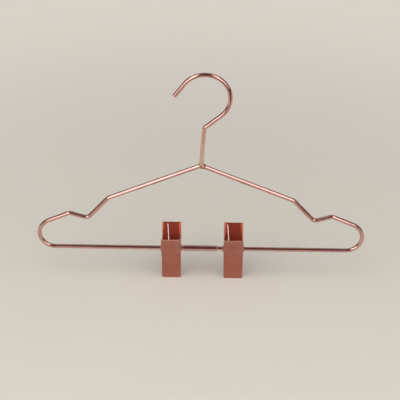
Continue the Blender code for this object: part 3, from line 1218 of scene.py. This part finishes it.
    def section(self, half_width: float, depth: float, inset: float) -> list[tuple[Vector, float, float]]:
        """A jaw's section at one station, out along its outer skin and back along its inner one.

        Args:
            half_width: from the middle to the outside of a flange.
            depth: from the outer face to the flanges' edges.
            inset: how far every skin is drawn in, which rounds the sheet's ends.

        Returns:
            (across, in from the outer face) points, each with its nearness to the edge and its distance along
            the section from the middle.
        """
        band = self.band_width / sin(self.band_turn)
        fall = band * (1 - cos(self.band_turn))
        corner = min(self.corner_radius, (depth - self.sheet / 4 - fall) / cos(self.band_turn))
        corner_centre = Vector((half_width - corner, fall + corner * cos(self.band_turn)))
        band_centre = Vector((corner_centre.x + corner * sin(self.band_turn) - self.band_width, band))
        flank = self.band_turn - pi / 2
        count = self.corner_steps
        spots = [(corner_centre, corner, flank * i / count) for i in range(count + 1)]
        turns = [self.band_turn * i / self.band_steps for i in range(1, self.band_steps + 1)]
        spots += [(band_centre, band, flank - turn) for turn in turns]

        half = self.sheet / 2 - inset
        reach = depth - inset - corner_centre.y
        soft = min(self.edge_round, reach * self.edge_round_share)
        thinner = soft if inset == 0 else 0.0
        right: list[tuple[Vector, Vector, float, float]] = []
        for back, thin, rim in (*CUT_EDGE, ((reach + soft) / (2 * soft), 0.0, 0.0)):
            place = Vector((half_width - self.sheet / 2, corner_centre.y + reach - soft * back))
            right.append((place, Vector((1.0, 0.0)), half - thinner * thin, rim))
        for centre, radius, angle in spots:
            place = on_circle(centre, radius - self.sheet / 2, angle)
            right.append((place, Vector((cos(angle), sin(angle))), half, 0.0))
        line = right + [(Vector((-p.x, p.y)), Vector((-n.x, n.y)), h, rim) for p, n, h, rim in right[::-1]]
        run, runs = 0.0, [0.0]
        for before, after in zip(line, line[1:]):
            run += (after[0] - before[0]).length
            runs.append(run)
        outer = [(p + n * h, rim, at - run / 2) for (p, n, h, rim), at in zip(line, runs)]
        inner = [(p - n * h, rim, at - run / 2) for (p, n, h, rim), at in zip(line, runs)]
        return outer + inner[::-1]

    def jaw_skin(self, facing: Facing) -> Skin:
        """A jaw's whole folded sheet, before its ears are bored.

        Args:
            facing: the front jaw, or the rear one that nests in it.

        Returns:
            Its closed skin.
        """
        skin = Skin()
        rings = []
        travelled = 0.0
        steps = self.jaw_stations() + self.finger_stations() + self.roll_stations()
        narrower = self.sheet + self.nest_gap if facing is Facing.REAR else 0.0
        for i, step in enumerate(steps):
            if i:
                travelled += (step.point - steps[i - 1].point).length
            half_width = self.half_width(step.point.y) - narrower * step.drawn_in
            loop = self.section(half_width, step.depth, step.inset)
            points, lays, rims, inners = [], [], [], []
            for k, (place, rim, run) in enumerate(loop):
                at = step.point + into_sheet(step.lean) * place.y
                inside = float(k >= len(loop) // 2)
                points.append(self.pivot + Vector((place.x, facing.value * at.x, at.y)))
                lays.append(Vector((run, self.inner_lay * inside, travelled)))
                rims.append(max(rim, step.rim))
                inners.append(inside)
            rings.append(skin.ring(points, lays, rims, inners))
        skin.bridge(rings)
        skin.strip_cap(rings[0])
        skin.strip_cap(rings[-1])
        return skin

    def bore_ears(self, jaw: bpy.types.Object) -> None:
        """Bores the rivet's hole through both ears of a jaw.

        Args:
            jaw: the jaw, whose mesh is changed.
        """
        skin = Skin()
        rings = []
        spots = evenly_round(self.pivot_radius + self.running_gap, BORE_SIDES)
        for along in (-self.width, self.width):
            points = [self.pivot + Vector((along, y, z)) for y, z in spots]
            rings.append(skin.ring(points, points, 0.0))
        skin.bridge(rings)
        for ring in rings:
            skin.cap(ring)
        rod = skin.make("boring_rod")
        modifier = jaw.modifiers.new("bore", "BOOLEAN")
        modifier.operation = "DIFFERENCE"
        modifier.solver = "EXACT"
        modifier.object = rod
        graph = bpy.context.evaluated_depsgraph_get()
        bored = bpy.data.meshes.new_from_object(jaw.evaluated_get(graph))
        jaw.modifiers.clear()
        jaw.data = bored
        bored.name = jaw.name
        bpy.data.objects.remove(rod, do_unlink=True)
        turn_outwards(bored)

    def build_jaw(self, facing: Facing) -> None:
        """One stamped jaw, with its ears bored for the rivet.

        Args:
            facing: the front jaw, or the rear one that nests in it.
        """
        half = f"{self.side.word}_{facing.word}"
        jaw = self.jaw_skin(facing).make(half + "_jaw_stamped")
        self.bore_ears(jaw)
        settle(jaw, self.finishes.sheet, half + "_jaw")
        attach(jaw, half)

    def build_rivet(self) -> None:
        """The hollow rivet, its two ends rolled over into round heads."""
        inner = self.width / 2 + self.nest_gap
        end = inner + self.head_thickness
        head = self.pivot_radius + self.head_height
        roll = self.head_thickness * self.head_roll_share
        mouth = self.mouth_round
        brim = arc(Vector((end - roll, head - roll)), roll, pi / 2, 0, radians(15))
        throat = arc(Vector((end - mouth, self.pivot_bore + mouth)), mouth, 0, -pi / 2, radians(15))
        half = [
            (inner - self.head_root, self.pivot_radius, 0.0),
            (inner, self.pivot_radius + self.head_flare, 0.0),
            (inner, head - roll, 0.5),
        ]
        half += [(p.x, p.y, 1.0) for p in brim] + [(p.x, p.y, 0.7) for p in throat]
        profile = half + [(-along, radius, rim) for along, radius, rim in half[::-1]]
        node = f"{self.side.word}_pivot_tube"
        rivet = turned(node + "_rolled", profile, self.pivot, BAR_WAY)
        settle(rivet, self.finishes.sheet, node)
        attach(rivet, f"{self.side.word}_slider")

    def spring_path(self) -> tuple[list[Vector], float]:
        """The spring's centre line about the pivot: the front leg, the coil and the rear leg.

        Returns:
            The line's points, and half of the coil's length.
        """
        along = up_sheet(self.lean)
        off_finger = self.sheet + self.joint_gap + self.spring_wire / 2
        seat = self.finger_end - along * self.leg_inset + into_sheet(self.lean) * off_finger
        coil_radius = self.pivot_radius + self.running_gap + self.spring_wire / 2
        leave = atan2(seat.y, seat.x) - acos(coil_radius / seat.length)
        sweep = 2 * pi * self.spring_turns + pi + 2 * leave
        half_coil = self.spring_pitch * sweep / (4 * pi)

        foot = on_circle(Vector((0.0, 0.0)), coil_radius, leave)
        corner = Vector((-half_coil - self.leg_splay, seat.x, seat.y))
        rise = self.leg_hook / 2
        turn = corner + Vector((-rise, along.x * rise, along.y * rise))
        end = turn - BAR_WAY * self.leg_hook
        leg = follow([(Vector((-half_coil, foot.x, foot.y)), 0.0), (turn, self.leg_bend), (end, 0.0)])[1:]

        coil = []
        steps = ceil(self.spring_steps * sweep / (2 * pi))
        for i in range(steps + 1):
            angle = leave - sweep * (1 - i / steps)
            x = half_coil * (1 - 2 * i / steps)
            coil.append(Vector((x, coil_radius * cos(angle), coil_radius * sin(angle))))
        return [Vector((-p.x, -p.y, p.z)) for p in leg[::-1]] + coil + leg, half_coil

    def build_spring(self) -> None:
        """The torsion spring, which twists between the two jaws."""
        path, half_coil = self.spring_path()
        middle = self.pivot + BAR_WAY * self.spring_shift
        side = self.side.word
        points = [middle + p for p in path]
        radius = self.spring_wire / 2
        spring = drawn_wire(f"{side}_spring_coiled", points, radius, SPRING_SIDES, self.spring_nose)
        settle(spring, self.finishes.spring, f"{side}_spring")
        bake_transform(spring)

    def dress_pad(self, facing: Facing) -> None:
        """Gives a jaw's CAD grip pad its rubber.

        Args:
            facing: which jaw's pad.
        """
        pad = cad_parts[f"{self.side.word}_{facing.word}_pad"]
        for slot in pad.material_slots:
            slot.material = self.finishes.rubber
        LOG.info("%s keeps its CAD shape, in rubber", pad.name)

    def dress(self) -> None:
        """Builds the clip's pieces and dresses its pads."""
        for facing in Facing:
            self.build_jaw(facing)
            self.dress_pad(facing)
        self.build_rivet()
        self.build_spring()


@dataclass(frozen=True)
class FloorPaper:
    """Pale matt paper, faintly mottled, which the camera sees run out into the backdrop."""

    name: str = "floor_paper"
    colour: Colour = (0.69, 0.655, 0.596)
    far_from: float = 0.12
    far_to: float = 0.8
    mottle: float = 0.015
    mottle_scale: float = 9.0
    roughness: float = 0.9
    specular: float = 0.1

    def make(self) -> bpy.types.Material:
        """Builds the material.

        Returns:
            The material.
        """
        material, tree = start_material(self.name)
        place = tree.place()
        noise = tree.noise(place, self.mottle_scale, detail=4.0)
        value = tree.carry(noise, low=1 - self.mottle, high=1 + self.mottle)
        base = tree.add("ShaderNodeHueSaturation", {"Color": self.colour, "Value": value}).outputs[0]
        shader = {"Base Color": base, "Roughness": self.roughness, "Specular IOR Level": self.specular}
        paper = tree.add("ShaderNodeBsdfPrincipled", shader)
        flat = tree.vectors("MULTIPLY", place, (1.0, 1.0, 0.0))
        away = tree.add("ShaderNodeVectorMath", {0: flat}, operation="LENGTH").outputs["Value"]
        far = tree.carry(away, start=self.far_from, end=self.far_to, eased=True)
        share = tree.maths("MULTIPLY", far, tree.seen_by_camera())
        backdrop = tree.add("ShaderNodeEmission", {"Color": BACKDROP, "Strength": 1.0})
        tree.surface(tree.mix_shaders(share, paper, backdrop))
        return material


@dataclass(frozen=True)
class MattCard:
    """The matt face of the dark cards."""

    name: str = "matt_card"
    colour: Colour = (0.16, 0.03, 0.02)
    roughness: float = 0.9

    def make(self) -> bpy.types.Material:
        """Builds the material.

        Returns:
            The material.
        """
        material, tree = start_material(self.name)
        shader = {"Base Color": self.colour, "Roughness": self.roughness}
        tree.surface(tree.add("ShaderNodeBsdfPrincipled", shader))
        return material


@dataclass(frozen=True)
class Stand:
    """A place on a sphere about the hanger: degrees to the viewer's right, degrees up, and how far off."""

    azimuth: float
    elevation: float
    distance: float

    def hold(self, obj: bpy.types.Object) -> None:
        """Holds something there, facing the middle of the view.

        Args:
            obj: what it holds.
        """
        azimuth, elevation = radians(self.azimuth), radians(self.elevation)
        back = Vector((sin(azimuth) * cos(elevation), -cos(azimuth) * cos(elevation), sin(elevation)))
        obj.location = VIEW_MIDDLE + back * self.distance
        obj.rotation_mode = "QUATERNION"
        obj.rotation_quaternion = (-back).to_track_quat("-Z", "Y")


@dataclass(frozen=True)
class Lamp:
    """A soft square lamp on a stand, with its edge in metres and its power in watts."""

    name: str
    stand: Stand
    size: float
    power: float
    colour: Colour = (1.0, 0.985, 0.96)

    def set_up(self) -> None:
        """Puts the lamp on its stand."""
        lamp = bpy.data.lights.new(self.name, "AREA")
        lamp.shape = "SQUARE"
        lamp.size = self.size
        lamp.energy = self.power
        lamp.color = self.colour
        self.stand.hold(put_in_scene(self.name, lamp))


@dataclass(frozen=True)
class Card:
    """A dark card that only shows in the metal, as a photographer's black flag does."""

    name: str
    width: float
    height: float

    def cut(self, face: bpy.types.Material) -> bpy.types.Object:
        """Cuts the card out.

        Args:
            face: its material.

        Returns:
            The card, flat and facing up at the origin.
        """
        mesh = bpy.data.meshes.new(self.name)
        w, h = self.width / 2, self.height / 2
        mesh.from_pydata([(-w, -h, 0), (w, -h, 0), (w, h, 0), (-w, h, 0)], [], [(0, 1, 2, 3)])
        mesh.materials.append(face)
        card = put_in_scene(self.name, mesh)
        card.visible_camera = card.visible_diffuse = card.visible_shadow = False
        return card


@dataclass(frozen=True)
class HungCard(Card):
    """A card on a stand, facing the hanger."""

    stand: Stand

    def set_up(self, face: bpy.types.Material) -> None:
        """Puts the card on its stand."""
        self.stand.hold(self.cut(face))


@dataclass(frozen=True)
class LaidCard(Card):
    """A card that lies on the floor, its middle so far to the right of and behind the hanger."""

    middle: tuple[float, float]
    lift: float = 0.0005

    def set_up(self, face: bpy.types.Material) -> None:
        """Lays the card down."""
        self.cut(face).location = (*self.middle, CAD_BOX[0][2] + self.lift)


LAMPS = (
    Lamp("left_softbox", Stand(-46, 38, 1.9), size=2.6, power=36.5),
    Lamp("right_softbox", Stand(46, 38, 1.9), size=2.6, power=32.0),
    Lamp("back_softbox", Stand(180, 50, 2.2), size=2.0, power=4.5),
    Lamp("left_core", Stand(-29, 21, 1.7), size=0.45, power=1.1),
    Lamp("right_core", Stand(29, 21, 1.7), size=0.45, power=0.7),
)
CARDS = (
    HungCard("front_flag", width=1.0, height=1.6, stand=Stand(0, 52, 1.5)),
    HungCard("left_flag", width=1.8, height=1.5, stand=Stand(-105, 24, 1.5)),
    HungCard("right_flag", width=1.8, height=1.5, stand=Stand(105, 24, 1.5)),
    HungCard("left_strip", width=0.26, height=0.15, stand=Stand(-56, 8, 0.55)),
    HungCard("right_strip", width=0.26, height=0.15, stand=Stand(56, 8, 0.55)),
    LaidCard("front_sheet", width=1.0, height=0.9, middle=(0.35, -0.77)),
)


@dataclass(frozen=True)
class Studio:
    """The floor, the lamps, the dark cards that draw lines on the metal, and the camera."""

    floor_half: float = 4.0
    floor_squares: int = 8
    floor_drop: float = 0.0001
    world_colour: Colour = (1.0, 0.97, 0.92)
    world_strength: float = 0.13
    camera_stand: Stand = Stand(1.0, 30, 1.6)
    camera_roll: float = radians(0.37)
    focal_pixels: float = 1512.8
    film: float = 36.0

    def build_floor(self) -> None:
        """A wide plain floor just under the clips' tips."""
        shape = bmesh.new()
        squares = self.floor_squares
        bmesh.ops.create_grid(shape, x_segments=squares, y_segments=squares, size=self.floor_half)
        for vertex in shape.verts:
            vertex.co.z = CAD_BOX[0][2] - self.floor_drop
        mesh = bpy.data.meshes.new("floor")
        shape.to_mesh(mesh)
        shape.free()
        mesh.materials.append(FloorPaper().make())
        put_in_scene("floor", mesh)

    def build_world(self) -> None:
        """An even dim surround, which the camera itself sees as the pale backdrop."""
        world = bpy.data.worlds.new("pale_surround")
        world.use_nodes = True
        tree = Tree(world.node_tree)
        surround = {"Color": self.world_colour, "Strength": self.world_strength}
        light = tree.add("ShaderNodeBackground", surround)
        backdrop = tree.add("ShaderNodeBackground", {"Color": BACKDROP, "Strength": 1.0})
        both = tree.mix_shaders(tree.seen_by_camera(), light, backdrop)
        tree.add("ShaderNodeOutputWorld", {"Surface": both.outputs[0]})
        bpy.context.scene.world = world

    def build_camera(self) -> None:
        """The camera at the photograph's view."""
        lens = bpy.data.cameras.new("photo_view")
        lens.sensor_width = self.film
        lens.lens = self.focal_pixels / PHOTO_PIXELS * self.film
        camera = put_in_scene("photo_view", lens)
        self.camera_stand.hold(camera)
        camera.rotation_quaternion = camera.rotation_quaternion @ Quaternion((0, 0, 1), self.camera_roll)
        bpy.context.scene.camera = camera

    def set_up(self) -> None:
        """Builds the whole stage."""
        self.build_floor()
        self.build_world()
        for lamp in LAMPS:
            lamp.set_up()
        face = MattCard().make()
        for card in CARDS:
            card.set_up(face)
        self.build_camera()
        bpy.context.scene.view_settings.view_transform = "Standard"


def main() -> None:
    """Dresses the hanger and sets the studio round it."""
    logging.basicConfig(level=logging.INFO, format="%(message)s")
    finishes = Finishes()
    WireFrame(finishes).dress()
    Clip(finishes, Side.LEFT, x=-0.0314, spring_shift=0.0009).dress()
    Clip(finishes, Side.RIGHT, x=0.0354, spring_shift=-0.0012).dress()
    Studio().set_up()


if __name__ == "__main__":
    main()
